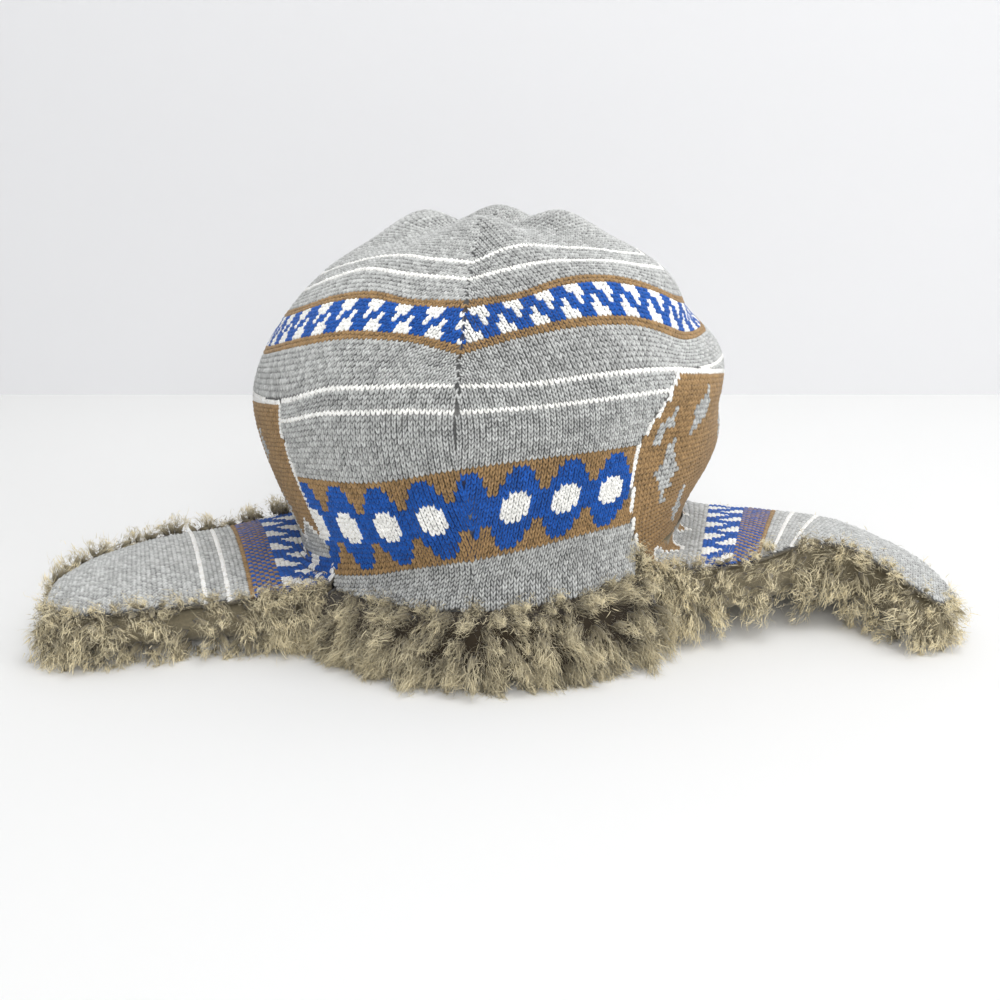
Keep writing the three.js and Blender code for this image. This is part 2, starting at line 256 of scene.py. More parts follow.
# %% Stage
PITCH, LENS = 17, 46.08
CAMERA_AT = (4, -553, 207)
camera = bpy.data.objects.new("camera", bpy.data.cameras.new("camera"))
camera.location = to_frame(CAMERA_AT)
camera.rotation_euler = (math.radians(90 - PITCH), 0, 0)
camera.data.sensor_width = 36
camera.data.lens = LENS
camera.data.dof.use_dof = False
bpy.context.scene.collection.objects.link(camera)
bpy.context.scene.camera = camera


def linear(r, g, b):
    """Screen colour, 0 to 255, as linear light."""
    c = np.array([r, g, b]) / 255
    return tuple(np.where(c <= 0.04045, c / 12.92, ((c + 0.055) / 1.055) ** 2.4)) + (1.0,)


def plain_material(name, colour, roughness=0.9):
    material = bpy.data.materials.new(name)
    material.use_nodes = True
    shader = material.node_tree.nodes["Principled BSDF"]
    shader.inputs["Base Color"].default_value = colour
    shader.inputs["Roughness"].default_value = roughness
    shader.inputs["Specular IOR Level"].default_value = 0.1
    return material


def stage_plane(name, corners, colour):
    mesh = bpy.data.meshes.new(name)
    mesh.from_pydata(corners, [], [(0, 1, 2, 3)])
    mesh.materials.append(plain_material(name, colour))
    plane = bpy.data.objects.new(name, mesh)
    bpy.context.scene.collection.objects.link(plane)
    plane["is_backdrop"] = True
    return plane


def clear_from_behind(material):
    """Let a camera behind the wall look through it; its front stays as it is."""
    nodes, links = material.node_tree.nodes, material.node_tree.links
    geometry = nodes.new("ShaderNodeNewGeometry")
    clear = nodes.new("ShaderNodeBsdfTransparent")
    mix = nodes.new("ShaderNodeMixShader")
    links.new(geometry.outputs["Backfacing"], mix.inputs[0])
    links.new(nodes["Principled BSDF"].outputs[0], mix.inputs[1])
    links.new(clear.outputs[0], mix.inputs[2])
    links.new(mix.outputs[0], nodes["Material Output"].inputs["Surface"])


ROOM_SIDE, ROOM_NEAR, WALL_Y, WALL_TOP = 3, -2, 0.40, 2.5


def sheet(y0, z0, y1, z1):
    return [(-ROOM_SIDE, y0, z0), (ROOM_SIDE, y0, z0), (ROOM_SIDE, y1, z1), (-ROOM_SIDE, y1, z1)]


stage_plane("floor", sheet(ROOM_NEAR, 0, WALL_Y, 0), (0.86, 0.86, 0.85, 1))
wall = stage_plane("wall", sheet(WALL_Y, 0, WALL_Y, WALL_TOP), (0.82, 0.82, 0.83, 1))
clear_from_behind(wall.data.materials[0])

world = bpy.data.worlds.new("studio")
world.use_nodes = True
world.node_tree.nodes["Background"].inputs["Color"].default_value = (0.97, 0.98, 1.0, 1)
world.node_tree.nodes["Background"].inputs["Strength"].default_value = 0.5
bpy.context.scene.world = world
bpy.context.scene.view_settings.view_transform = "Standard"


def area_light(name, place, target, size, power):
    light = bpy.data.lights.new(name, "AREA")
    light.shape = "SQUARE"
    light.size = size
    light.energy = power
    lamp = bpy.data.objects.new(name, light)
    lamp.location = place
    aim = Vector(target) - Vector(place)
    lamp.rotation_euler = aim.to_track_quat("-Z", "Y").to_euler()
    bpy.context.scene.collection.objects.link(lamp)


LIGHTS = [  # name, place, target, size, power
    ("overhead", (0.25, -0.15, 1.3), (0, 0, 0.05), 0.8, 7),
    ("right", (1.3, -0.6, 0.8), (0, 0, 0.08), 0.7, 3),
    ("front", (0.2, -1.5, 0.75), (0, 0, 0.08), 0.8, 9),
]
for light in LIGHTS:
    area_light(*light)
print("lights:", [light[0] for light in LIGHTS])

# %% [markdown]
# ## Yarn colours and charts
#
# Knitters draw a pattern as a chart: one letter for each stitch, one line for each row. The crown's two
# patterned bands are common traditional ones, a row of stepped diamonds and a zigzag, so each fits in a
# few lines that repeat round the hat. Grey g, white w, brown n and blue b are the only yarns.

# %% Charts
YARN = {
    "g": linear(188, 189, 187),
    "w": linear(255, 254, 250),
    "n": linear(162, 131, 90),
    "b": linear(30, 90, 176),
}
HALF_DIAMOND = [
    "nnnnnnnnn",
    "nnnbbbnnn",
    "nnbbbbbnn",
    "nnbbbbbnn",
    "nbbbbbbbn",
    "nbbbbbbbn",
    "bbbwwwbbb",
    "bbwwwwwbb",
    "bbwwwwwbb",
]
DIAMOND = HALF_DIAMOND + HALF_DIAMOND[::-1]
ZIGZAG = [
    "wwwbbb",
    "wwwbbb",
    "bwwbbb",
    "bwbbwb",
    "bwbbwb",
    "bbbwwb",
    "bbbwww",
    "bbbwww",
]
CHECK = ["nb", "bn"]
CROWN_BANDS = [
    (11, ["g"]),
    (18, DIAMOND[::-1]),
    (11, ["g"]),
    (1, ["w"]),
    (4, ["g"]),
    (1, ["w"]),
    (8, ["g"]),
    (2, ["n"]),
    (8, ZIGZAG[::-1]),
    (2, ["n"]),
    (5, ["g"]),
    (1, ["w"]),
    (4, ["g"]),
    (1, ["w"]),
    (40, ["g"]),
]
LETTERS = list(YARN)


def chart_rows(bands):
    """One line of yarn letters for each knitted row."""
    return [chart[i % len(chart)] for count, chart in bands for i in range(count)]


CROWN_ROWS = chart_rows(CROWN_BANDS)


def yarn_at(lines, row, wale):
    """Yarn number of each stitch, from its row and its wale."""
    letters = [lines[r][w % len(lines[r])] for r, w in zip(row, wale)]
    return np.array([LETTERS.index(letter) for letter in letters])


print("rows charted on the crown:", len(CROWN_ROWS))

# %% [markdown]
# ## Where the rows run
#
# On the sewn hat the rows dip at the centre seam and rise between the seams. These tables give the
# distance up the cloth, from the rim, where the edge of each band lies, for every 15 degrees from the
# seam. Rows are then spread evenly between the bands, so that stitches stretch a little as they do on
# a real hat.

# %% Row lines
BAND_ROWS = [0, 11, 29, 40.5, 45.5, 54, 66, 71.5, 76.5]
TOP_ROW = 107
LEFT_LINES = np.array([  # rim, diamond low, diamond high, white 1, white 2, zigzag low, high, white 3, white 4
    (0, 19, 56.7, 78.3, 88.2, 100.5, 125, 136.3, 146),
    (-4, 15.3, 53.4, 80, 89.5, 108, 127.5, 140.5, 150.5),
    (-9, 9.5, 50.8, 78, 87.5, 108, 131.5, 143.2, 154),
    (-12, 5, 48, 71, 79, 102, 127.5, 143, 152),
    (-12, 4, 47, 68, 76, 96, 119, 134, 144),
    (-12, 4, 46, 66, 74, 91, 113, 125, 135),
    (-12, 4, 46, 65, 73, 89, 110, 121, 131),
], float)
RIGHT_LINES = np.array([
    (0, 19, 56.7, 78.3, 88.2, 100.5, 125, 136.3, 146),
    (0, 22, 58.7, 78.2, 87, 106, 127.3, 141.2, 153.5),
    (0, 24.4, 58.5, 78, 87.3, 107.7, 132.5, 143.3, 155),
    (0, 23.6, 56, 76.5, 85.3, 104.5, 131, 140.5, 151),
    (0, 22, 54, 74, 82, 96.8, 123.5, 136, 146),
    (0, 21, 52, 72, 79, 92.5, 112, 129, 139),
    (0, 20, 51, 71, 78, 91, 109, 124, 134),
], float)
LINE_STEP = 15


def gore_lines(number):
    """Half-row lines of a gore, rim to top: angles, levels, arc from the rim, and points."""
    angle = BACK_SEAM + number * 90 + np.arange(-4, 94.01, 0.5)
    from_seam = (angle - BACK_SEAM - (0, 180, 180, 360)[number]) * (1, -1, 1, -1)[number]
    lines = row_at(RIGHT_LINES if number < 2 else LEFT_LINES, np.clip(from_seam, 0, 90) / LINE_STEP)
    level = np.linspace(0, TOP_LEVEL, 500)
    curve = crown_point(angle[None, :], level[:, None])
    step = np.linalg.norm(np.diff(curve, axis=0), axis=2)
    arc = np.vstack([np.zeros(len(angle)), np.cumsum(step, 0)])
    half_rows = np.arange(2 * TOP_ROW + 1) / 2
    up = np.array([
        np.interp(half_rows, BAND_ROWS + [TOP_ROW], np.append(lines[j], arc[-1, j])) for j in range(len(angle))
    ]).T
    levels = np.array([np.interp(up[:, j], arc[:, j], level) for j in range(len(angle))]).T
    return angle, levels, up, crown_point(angle[None, :], levels)


# %% [markdown]
# ## Laying stitches along the rows
#
# A wale is a column of stitches. Wales keep a constant width, so as a gore narrows they run into its
# seams and stop there, which is exactly what makes the cloth lean towards the seams. For every row we
# measure along its line and put a stitch each wale, remembering which way is right, up and out.

# %% Stitch places
WALE = 2.2
ROW = 1.9


def line_arc(points, zero):
    step = np.linalg.norm(np.diff(points, axis=0), axis=1)
    arc = np.append(0, np.cumsum(step))
    return arc - arc[zero]


def sample(arc, values, at):
    return np.stack([np.interp(at, arc, values[:, i]) for i in range(values.shape[1])], 1)


def lay_stitches(lines, inside):
    """Stitches on half-row lines: dict of place, right, up, row, wale and column."""
    zero = lines.shape[1] // 2
    columns = np.arange(lines.shape[1])
    found = {key: [] for key in ("place", "right", "up", "row", "wale", "column")}
    for row in range((len(lines) - 1) // 2):
        below, here, above = lines[2 * row : 2 * row + 3]
        arc = line_arc(here, zero)
        wale = np.arange(math.ceil(arc[0] / WALE), math.floor(arc[-1] / WALE) + 1)
        at = wale * WALE
        keep = np.interp(at, arc, inside[2 * row + 1].astype(float)) > 0.5
        at, wale = at[keep], wale[keep]
        if len(at) == 0:
            continue
        up = sample(line_arc(above, zero), above, at) - sample(line_arc(below, zero), below, at)
        right = sample(arc, here, at + WALE / 2) - sample(arc, here, at - WALE / 2)
        found["place"].append(sample(arc, here, at))
        found["right"].append(right)
        found["up"].append(up)
        found["row"].append(np.full(len(at), row))
        found["wale"].append(wale)
        found["column"].append(np.interp(at, arc, columns))
    return {key: np.concatenate(value) for key, value in found.items()}


def in_outline(outline, x, y):
    """Which points lie inside a closed outline, by counting crossings."""
    hit = np.zeros(np.shape(x), bool)
    for (x0, y0), (x1, y1) in zip(outline, np.roll(outline, -1, axis=0)):
        crosses = (y0 > y) != (y1 > y)
        if crosses.any():
            hit ^= crosses & (x < (x1 - x0) * (y - y0) / (y1 - y0 + 1e-12) + x0)
    return hit


CROWN_RADIUS, LEVEL_TALL = 98, 18


def panel_outline(ear, margin):
    """Outline of an ear panel in angle and level, grown by a margin in mm, open below the rim."""
    down = np.linspace(0, 1, 40)
    row = row_at(ear["panel"], down * (len(ear["panel"]) - 1))
    grow = np.sign(row[:, 2] - row[:, 0]) * np.degrees(margin / CROWN_RADIUS)
    back = np.stack([row[:, 0] - grow, row[:, 1] + margin / LEVEL_TALL], 1)
    front = np.stack([row[:, 2] + grow, row[:, 3] + margin / LEVEL_TALL], 1)
    foot = [(back[-1, 0], -1), (front[-1, 0], -1)]
    return np.vstack([back, foot, front[::-1]])


def under_panel(angle, level, margin):
    around = (angle + 180) % 360 - 180
    return np.any([in_outline(panel_outline(ear, margin), around, level) for ear in EARS.values()], 0)


SEAM_SLANT, SEAM_CLEAR = 2.8, 4.2
CHART_OFFSET = 2


def seam_angle(number, level):
    """Where a gore starts: the centre back seam swings a little to the right low down."""
    slant = np.clip((3.6 - level) / 1.5, 0, 1) * (SEAM_SLANT if number % 4 == 0 else 0)
    return BACK_SEAM + number * 90 + slant


gores = {}
for number, name in enumerate(["back_right", "front_right", "front_left", "back_left"]):
    angle, levels, up, lines = gore_lines(number)
    wide = np.broadcast_to(angle, levels.shape)
    inside = (wide > seam_angle(number, levels)) & (wide < seam_angle(number + 1, levels)) & (up > 0.5)
    inside &= ~under_panel(wide, levels, 0)
    stitches = lay_stitches(lines, inside)
    stitches["yarn"] = yarn_at(CROWN_ROWS, stitches["row"], stitches["wale"] + CHART_OFFSET)
    around = np.interp(stitches["column"], np.arange(len(angle)), angle) - (360 if number == 3 else 0)
    near_seam = np.abs(around - BACK_SEAM - SEAM_SLANT) < SEAM_CLEAR
    in_band = (stitches["row"] > 11) & (stitches["row"] < 28) & (stitches["yarn"] == LETTERS.index("w"))
    stitches["yarn"][near_seam & in_band] = LETTERS.index("b")
    gores[name] = dict(number=number, angle=angle, levels=levels, up=up, lines=lines, stitches=stitches)
    print(name, len(stitches["row"]), "stitches")

# %% [markdown]
# ## Rows on the ear strips
#
# On a strip the rows run across and the wales run along it, from the crown out to the tip. The bands lean
# a little, so the row lines are sheared by a few millimetres from edge to edge. The brown panel carries
# grey lozenges, a white edge wale and white-edged points where the brown ends above the bend.

# %% Ear stitches
EAR_ZIGZAG = [
    "wwwwbbbbb",
    "wwwwbbbbb",
    "bwwwbbbbb",
    "bwwbbbwbb",
    "bbwbbwwbb",
    "bbbbbwwwb",
    "bbbbbwwww",
    "bbbbbwwww",
]


def ear_bands(brown, grey):
    return [(brown, ["n"]), (4, ["g"]), (2, ["n"]), (8, EAR_ZIGZAG), (6, CHECK), (1, ["n"]), (grey, ["g"]),
            (1, ["w"]), (4, ["g"]), (1, ["w"]), (70, ["g"])]


EAR_BANDS = {"left": ear_bands(30, 4), "right": ear_bands(42, 3)}
LOZENGES = {  # share across, arc down the strip, half width, half length, all but the first in mm
    "left": [(0.3, 20, 6, 9), (0.6, 36, 6, 9), (0.3, 48, 5, 7)],
    "right": [(0.25, 15, 6, 11), (0.09, 19, 4, 8), (0.17, 36, 8, 11), (0.30, 55, 5, 10),
              (0.62, 22, 7, 11), (0.66, 46, 6, 9)],
}
BAND_LEAN = {"left": 16, "right": -3}
POINTS_AT = {"left": (57, 10), "right": (76, 14)}


def ear_lines(ear, lean):
    share = np.linspace(-0.02, 1.02, 209)
    along = np.linspace(0, 3, 601)
    middle = ear_point(ear, np.full(601, 0.5), along)
    arc = line_arc(middle, 0)
    rows = int(arc[-1] / ROW)
    half_rows = np.arange(2 * rows + 1) / 2 * ROW
    fade = np.clip(half_rows / 60, 0, 1) * np.clip((arc[-1] - half_rows) / 50, 0, 1)
    at = half_rows[:, None] - lean * (0.5 - share)[None, :] * fade[:, None]
    place = np.interp(at, arc, along)
    return share, place, at, ear_point(ear, np.broadcast_to(share, place.shape), place)


chance = np.random.default_rng(3)
strips = {}
for name, ear in EARS.items():
    share, place, at, lines = ear_lines(ear, BAND_LEAN[name])
    inside = np.broadcast_to((share > 0) & (share < 1), place.shape)
    stitches = lay_stitches(lines, inside)
    yarn = yarn_at(chart_rows(EAR_BANDS[name]), stitches["row"], stitches["wale"])
    across = np.interp(stitches["column"], np.arange(len(share)), share)
    width = np.array([line_arc(line, 0)[-1] for line in lines[1::2]])[stitches["row"]]
    down = stitches["row"] * ROW
    end, tall = POINTS_AT[name]
    point = end + tall * np.abs(((across * width / 26) % 1) * 2 - 1) - tall / 2
    on_panel = down < point
    yarn = np.where(on_panel & (down > 40), LETTERS.index("n"), yarn)
    yarn = np.where(~on_panel & (down < end + tall) & (yarn == LETTERS.index("n")), LETTERS.index("g"), yarn)
    yarn = np.where(np.abs(down - point) < 1.2, LETTERS.index("w"), yarn)
    for centre, arc, half_wide, half_long in LOZENGES[name]:
        off = np.abs(across - centre) * width / half_wide + np.abs(down - arc) / half_long
        ragged = chance.normal(0, 0.16, len(off))
        yarn = np.where(off + ragged < 1, LETTERS.index("g"), yarn)
    edge = (np.minimum(across, 1 - across) * width < WALE * 1.1) & on_panel
    yarn = np.where(edge | (stitches["row"] == 0), LETTERS.index("w"), yarn)
    stitches["yarn"] = yarn
    strips[name] = dict(ear=ear, share=share, place=place, lines=lines, stitches=stitches)
    print("ear", name, len(yarn), "stitches")

# %% [markdown]
# ## The cloth under the stitches
#
# A knit is full of tiny holes, and what shows through them lies in shade. A thin closed wall just below
# the stitches stands for that shade, and gives the piece its thickness. Its outer face takes the chart's
# colours with painted shade, darkened; its inner face is the lining. Where a gore runs under an ear panel
# it is tucked in, like a seam allowance.

# %% Walls
OUTER, INNER, TUCK = -0.9, -2.5, 1.9
LINING = linear(120, 110, 86)
# SHADE is painted shade: the share of the chart's colour left on the wall that shows in the gaps between
# stitches
SHADE = 0.22
GORE_STEP, GORE_COLUMNS = 4, 31
EAR_FIRST, EAR_STEP = 4, 8
TUCK_FROM, CUT_FROM = -1.5, -6


def cell_faces(rows, columns, kept):
    i, j = np.nonzero(kept)
    a = i * columns + j
    return np.stack([a, a + 1, a + columns + 1, a + columns], 1)


def wall_arrays(outer, inner, kept):
    """Closed wall from two grids and the cells that are kept: points and faces."""
    rows, columns = outer.shape[:2]
    count = rows * columns
    front = cell_faces(rows, columns, kept)
    back = front[:, ::-1] + count
    edges = np.concatenate([front[:, [k, (k + 1) % 4]] for k in range(4)])
    keys = {tuple(edge) for edge in edges.tolist()}
    rim = np.array([edge for edge in edges.tolist() if (edge[1], edge[0]) not in keys])
    sides = np.stack([rim[:, 1], rim[:, 0], rim[:, 0] + count, rim[:, 1] + count], 1)
    points = np.concatenate([outer.reshape(-1, 3), inner.reshape(-1, 3)])
    return points, np.concatenate([front, back, sides])


def new_mesh(name, points, faces):
    mesh = bpy.data.meshes.new(name)
    mesh.from_pydata(to_frame(points), [], faces.tolist() if hasattr(faces, "tolist") else faces)
    mesh.update()
    return mesh


def new_object(name, mesh):
    obj = bpy.data.objects.new(name, mesh)
    bpy.context.scene.collection.objects.link(obj)
    return obj


def set_values(mesh, name, values, kind="FLOAT", field="value"):
    """One value, colour or direction for each point."""
    attribute = mesh.attributes.new(name, kind, "POINT")
    attribute.data.foreach_set(field, np.asarray(values, np.float32).ravel())


def set_colours(mesh, name, colours):
    set_values(mesh, name, colours, "FLOAT_COLOR", "color")


def set_map(mesh, uv):
    """The piece's own map, one place for each point."""
    corner = np.empty(len(mesh.loops), np.int32)
    mesh.loops.foreach_get("vertex_index", corner)
    layer = mesh.uv_layers.new(name="OFBake")
    layer.data.foreach_set("uv", np.asarray(uv, np.float32)[corner].ravel())


PALETTE = np.array([YARN[letter] for letter in LETTERS])
WALL_MAP = 0.12


def cloth_wall(name, outer, inner, kept, yarn):
    points, faces = wall_arrays(outer, inner, kept)
    used = np.unique(faces)
    number = np.full(len(points), -1)
    number[used] = np.arange(len(used))
    rows, columns = outer.shape[:2]
    i, j = np.divmod(np.arange(rows * columns), columns)
    half = np.stack([0.49 * j / (columns - 1), WALL_MAP * 0.96 * i / (rows - 1)], 1)
    uv = np.concatenate([half, half + (0.5, 0)])
    # painted shade: the wall's outer face takes the chart's colours darkened, for the shade between stitches
    shade = PALETTE[yarn.ravel()] * (SHADE, SHADE, SHADE, 1)
    colours = np.concatenate([shade, np.tile(LINING, (rows * columns, 1))])
    mesh = new_mesh(name, points[used], number[faces])
    set_colours(mesh, "yarn", colours[used])
    set_values(mesh, "tone", np.full(len(used), 0.5))
    set_map(mesh, uv[used])
    mesh.shade_smooth()
    return mesh


walls = {}
for name, gore in gores.items():
    number, angle = gore["number"], gore["angle"]
    top = len(gore["lines"]) - 1
    rows = np.arange(0, top + 1, GORE_STEP)
    share = np.linspace(0, 1, GORE_COLUMNS)
    level = gore["levels"][rows]
    first = seam_angle(number, level[:, [40]])
    last = seam_angle(number + 1, level[:, [-40]])
    at = first + (last - first) * share
    level = np.array([np.interp(at[i], angle, level[i]) for i in range(len(rows))])
    face = crown_point(at, level)
    normal = grid_normals(crown_point(at, np.clip(level, 0.002, TOP_LEVEL)))
    normal = np.where(np.isfinite(normal), normal, 0)
    tuck = TUCK * under_panel(at, level, TUCK_FROM)[..., None]
    deep = under_panel(at, level, CUT_FROM)
    up = np.array([np.interp(at[i], angle, gore["up"][rows[i]]) for i in range(len(rows))])
    bad = deep | (up < -0.5)
    kept = ~(bad[:-1, :-1] & bad[1:, :-1] & bad[:-1, 1:] & bad[1:, 1:])
    wale = np.round((at - angle[len(angle) // 2]) * math.pi / 180 * np.hypot(face[..., 0], face[..., 1]) / WALE)
    row = np.broadcast_to(np.minimum(rows // 2, TOP_ROW)[:, None], wale.shape)
    yarn = yarn_at(CROWN_ROWS, row.ravel(), wale.astype(int).ravel() + CHART_OFFSET)
    walls["crown_" + name] = cloth_wall(
        "crown_" + name, face + normal * (OUTER - tuck), face + normal * (INNER - tuck), kept, yarn)

for name, strip in strips.items():
    rows = np.arange(0, len(strip["lines"]), 2)
    columns = np.arange(EAR_FIRST, strip["lines"].shape[1] - EAR_FIRST, EAR_STEP)
    face = strip["lines"][rows][:, columns]
    normal = grid_normals(face) * strip["ear"]["sign"]
    kept = np.ones((len(rows) - 1, len(columns) - 1), bool)
    stitches = strip["stitches"]
    table = np.zeros((len(rows), len(columns)), int)
    at = np.clip(np.round((stitches["column"] - EAR_FIRST) / EAR_STEP).astype(int), 0, len(columns) - 1)
    table[stitches["row"], at] = stitches["yarn"]
    outer, inner = face + normal * OUTER, face + normal * INNER
    if strip["ear"]["sign"] < 0:
        outer, inner, table = outer[:, ::-1], inner[:, ::-1], table[:, ::-1]
    walls["ear_flap_" + name] = cloth_wall("ear_flap_" + name, outer, inner, kept, table)
print({name: len(mesh.polygons) for name, mesh in walls.items()})

# %% [markdown]
# ## One stitch
#
# A knit stitch shows as a V: two plump legs of yarn that start together at the bottom and lean apart,
# their upper ends tucked under the next row. Eight triangles make a leg look round with smooth shading,
# and a stitch that is repeated thirty thousand times must be as light as that. The stitch is drawn in a
# unit cell: x is one wale, y is one row, z is in millimetres.

# %% Stitch mesh
LEG = np.array([  # x, y, z, half width
    (0.05, -0.70, 0.42, 0.0),
    (0.15, -0.26, 1.15, 0.20),
    (0.29, 0.28, 1.00, 0.20),
    (0.40, 0.80, 0.05, 0.0),
])
LEG_SKIRT = 0.85


def leg(side):
    points = []
    for x, y, z, half in LEG:
        if half == 0:
            points.append((x, y, z))
        else:
            points += [(x - half, y + 0.09, z - LEG_SKIRT), (x, y, z), (x + half, y - 0.09, z - LEG_SKIRT)]
    faces = [(0, 2, 1), (0, 3, 2), (1, 2, 5), (1, 5, 4), (2, 3, 6), (2, 6, 5), (4, 5, 7), (5, 6, 7)]
    if side < 0:
        points = [(-x, y, z) for x, y, z in points]
        faces = [face[::-1] for face in faces]
    return points, faces


right_points, right_faces = leg(1)
left_points, left_faces = leg(-1)
STITCH_POINTS = np.array(right_points + left_points)
# painted light on each leg: a painted highlight on the ridge points, painted shade on the sides and the two
# ends
LEG_PAINTED_LIGHT = [-0.35, -0.62, 0.34, -0.62, -0.62, 0.34, -0.62, -0.5]
STITCH_PAINTED_LIGHT = np.array(LEG_PAINTED_LIGHT * 2)
stitch_faces = right_faces + [tuple(i + len(right_points) for i in face) for face in left_faces]
stitch_mesh = bpy.data.meshes.new("stitch")
stitch_mesh.from_pydata(STITCH_POINTS, [], stitch_faces)
stitch_mesh.shade_smooth()
stitch_source = bpy.data.objects.new("stitch_source", stitch_mesh)
print("faces in one stitch:", len(stitch_faces))

# %% [markdown]
# ## Geometry Nodes: a shape on every point
#
# One node tree serves stitches, locks and hairs alike. It reads three attributes from each point, the
# way the shape faces, the way it points and its size, turns and scales an instance to match, and
# realizes the result so that it can be kept as a plain mesh.

# %% Scatter tree
def scatter_tree():
    tree = bpy.data.node_groups.new("shape_on_points", "GeometryNodeTree")
    tree.interface.new_socket("Points", in_out="INPUT", socket_type="NodeSocketGeometry")
    tree.interface.new_socket("Shape", in_out="INPUT", socket_type="NodeSocketObject")
    tree.interface.new_socket("Finish", in_out="INPUT", socket_type="NodeSocketMaterial")
    tree.interface.new_socket("Mesh", in_out="OUTPUT", socket_type="NodeSocketGeometry")
    node, link = tree.nodes.new, tree.links.new
    given, result = node("NodeGroupInput"), node("NodeGroupOutput")

    def read(name):
        attribute = node("GeometryNodeInputNamedAttribute")
        attribute.data_type = "FLOAT_VECTOR"
        attribute.inputs["Name"].default_value = name
        return attribute.outputs["Attribute"]

    turn = node("FunctionNodeAxesToRotation")
    turn.primary_axis, turn.secondary_axis = "Z", "Y"
    link(read("facing"), turn.inputs[0])
    link(read("upward"), turn.inputs[1])
    shape = node("GeometryNodeObjectInfo")
    shape.inputs["As Instance"].default_value = True
    link(given.outputs["Shape"], shape.inputs["Object"])
    place = node("GeometryNodeInstanceOnPoints")
    link(given.outputs["Points"], place.inputs["Points"])
    link(shape.outputs["Geometry"], place.inputs["Instance"])
    link(turn.outputs["Rotation"], place.inputs["Rotation"])
    link(read("size"), place.inputs["Scale"])
    real = node("GeometryNodeRealizeInstances")
    finish = node("GeometryNodeSetMaterial")
    link(place.outputs["Instances"], real.inputs["Geometry"])
    link(real.outputs["Geometry"], finish.inputs["Geometry"])
    link(given.outputs["Finish"], finish.inputs["Material"])
    link(finish.outputs["Geometry"], result.inputs["Mesh"])
    return tree


SCATTER = scatter_tree()
SOCKET = {item.name: item.identifier for item in SCATTER.interface.items_tree}


def scatter(name, places, facing, upward, size, source, finish):
    """Plain mesh of one source shape on every place, in the order of the places."""
    points = new_mesh(name, places, [])
    given = {"facing": facing, "upward": upward, "size": np.asarray(size) * MM}
    for key, values in given.items():
        set_values(points, key, values, "FLOAT_VECTOR", "vector")
    cloud = new_object(name, points)
    modifier = cloud.modifiers.new("shape on points", "NODES")
    modifier.node_group = SCATTER
    modifier[SOCKET["Shape"]] = source
    modifier[SOCKET["Finish"]] = finish
    bpy.context.view_layer.update()
    mesh = bpy.data.meshes.new_from_object(cloud.evaluated_get(bpy.context.evaluated_depsgraph_get()))
    bpy.data.objects.remove(cloud)
    for extra in given:
        if extra in mesh.attributes:
            mesh.attributes.remove(mesh.attributes[extra])
    return mesh


# %% [markdown]
# ## Wool
#
# Heathered wool is spun from light and dark fibres, so its tone changes from stitch to stitch and in
# fine streaks along the yarn. On a stitch the tone also carries painted light: a painted highlight on each
# leg's ridge and painted shade on its sides and ends. The node group mixes tone and streaks into one
# colour; the material only adds a rough, slightly fuzzy surface. Shading values that never change are
# set on the shader's sockets.

# %% Wool material
def value_node(tree, operation, a, b):
    math_node = tree.nodes.new("ShaderNodeMath")
    math_node.operation = operation
    for socket, value in zip(math_node.inputs, (a, b)):
        if isinstance(value, (int, float)):
            socket.default_value = value
        else:
            tree.links.new(value, socket)
    return math_node.outputs[0]


def fibre_group():
    """Colour broken up by fine fibres: base colour, tone and scale in, colour and height out."""
    tree = bpy.data.node_groups.new("fibre_colour", "ShaderNodeTree")
    for name, kind in (("Colour", "Color"), ("Tone", "Float"), ("Scale", "Float"), ("Contrast", "Float")):
        tree.interface.new_socket(name, in_out="INPUT", socket_type="NodeSocket" + kind)
    tree.interface.new_socket("Colour", in_out="OUTPUT", socket_type="NodeSocketColor")
    tree.interface.new_socket("Height", in_out="OUTPUT", socket_type="NodeSocketFloat")
    given, result = tree.nodes.new("NodeGroupInput"), tree.nodes.new("NodeGroupOutput")
    place = tree.nodes.new("ShaderNodeTexCoord")
    noise = tree.nodes.new("ShaderNodeTexNoise")
    noise.inputs["Detail"].default_value = 3
    noise.inputs["Roughness"].default_value = 0.65
    tree.links.new(place.outputs["Object"], noise.inputs["Vector"])
    tree.links.new(given.outputs["Scale"], noise.inputs["Scale"])
    streak = value_node(tree, "SUBTRACT", noise.outputs["Fac"], 0.5)
    tone = value_node(tree, "SUBTRACT", given.outputs["Tone"], 0.5)
    both = value_node(tree, "ADD", value_node(tree, "MULTIPLY", streak, 2.0), tone)
    gain = value_node(tree, "ADD", value_node(tree, "MULTIPLY", both, given.outputs["Contrast"]), 1.0)
    mixed = tree.nodes.new("ShaderNodeVectorMath")
    mixed.operation = "SCALE"
    tree.links.new(given.outputs["Colour"], mixed.inputs[0])
    tree.links.new(gain, mixed.inputs["Scale"])
    tree.links.new(mixed.outputs[0], result.inputs["Colour"])
    tree.links.new(noise.outputs["Fac"], result.inputs["Height"])
    return tree


FIBRES = fibre_group()


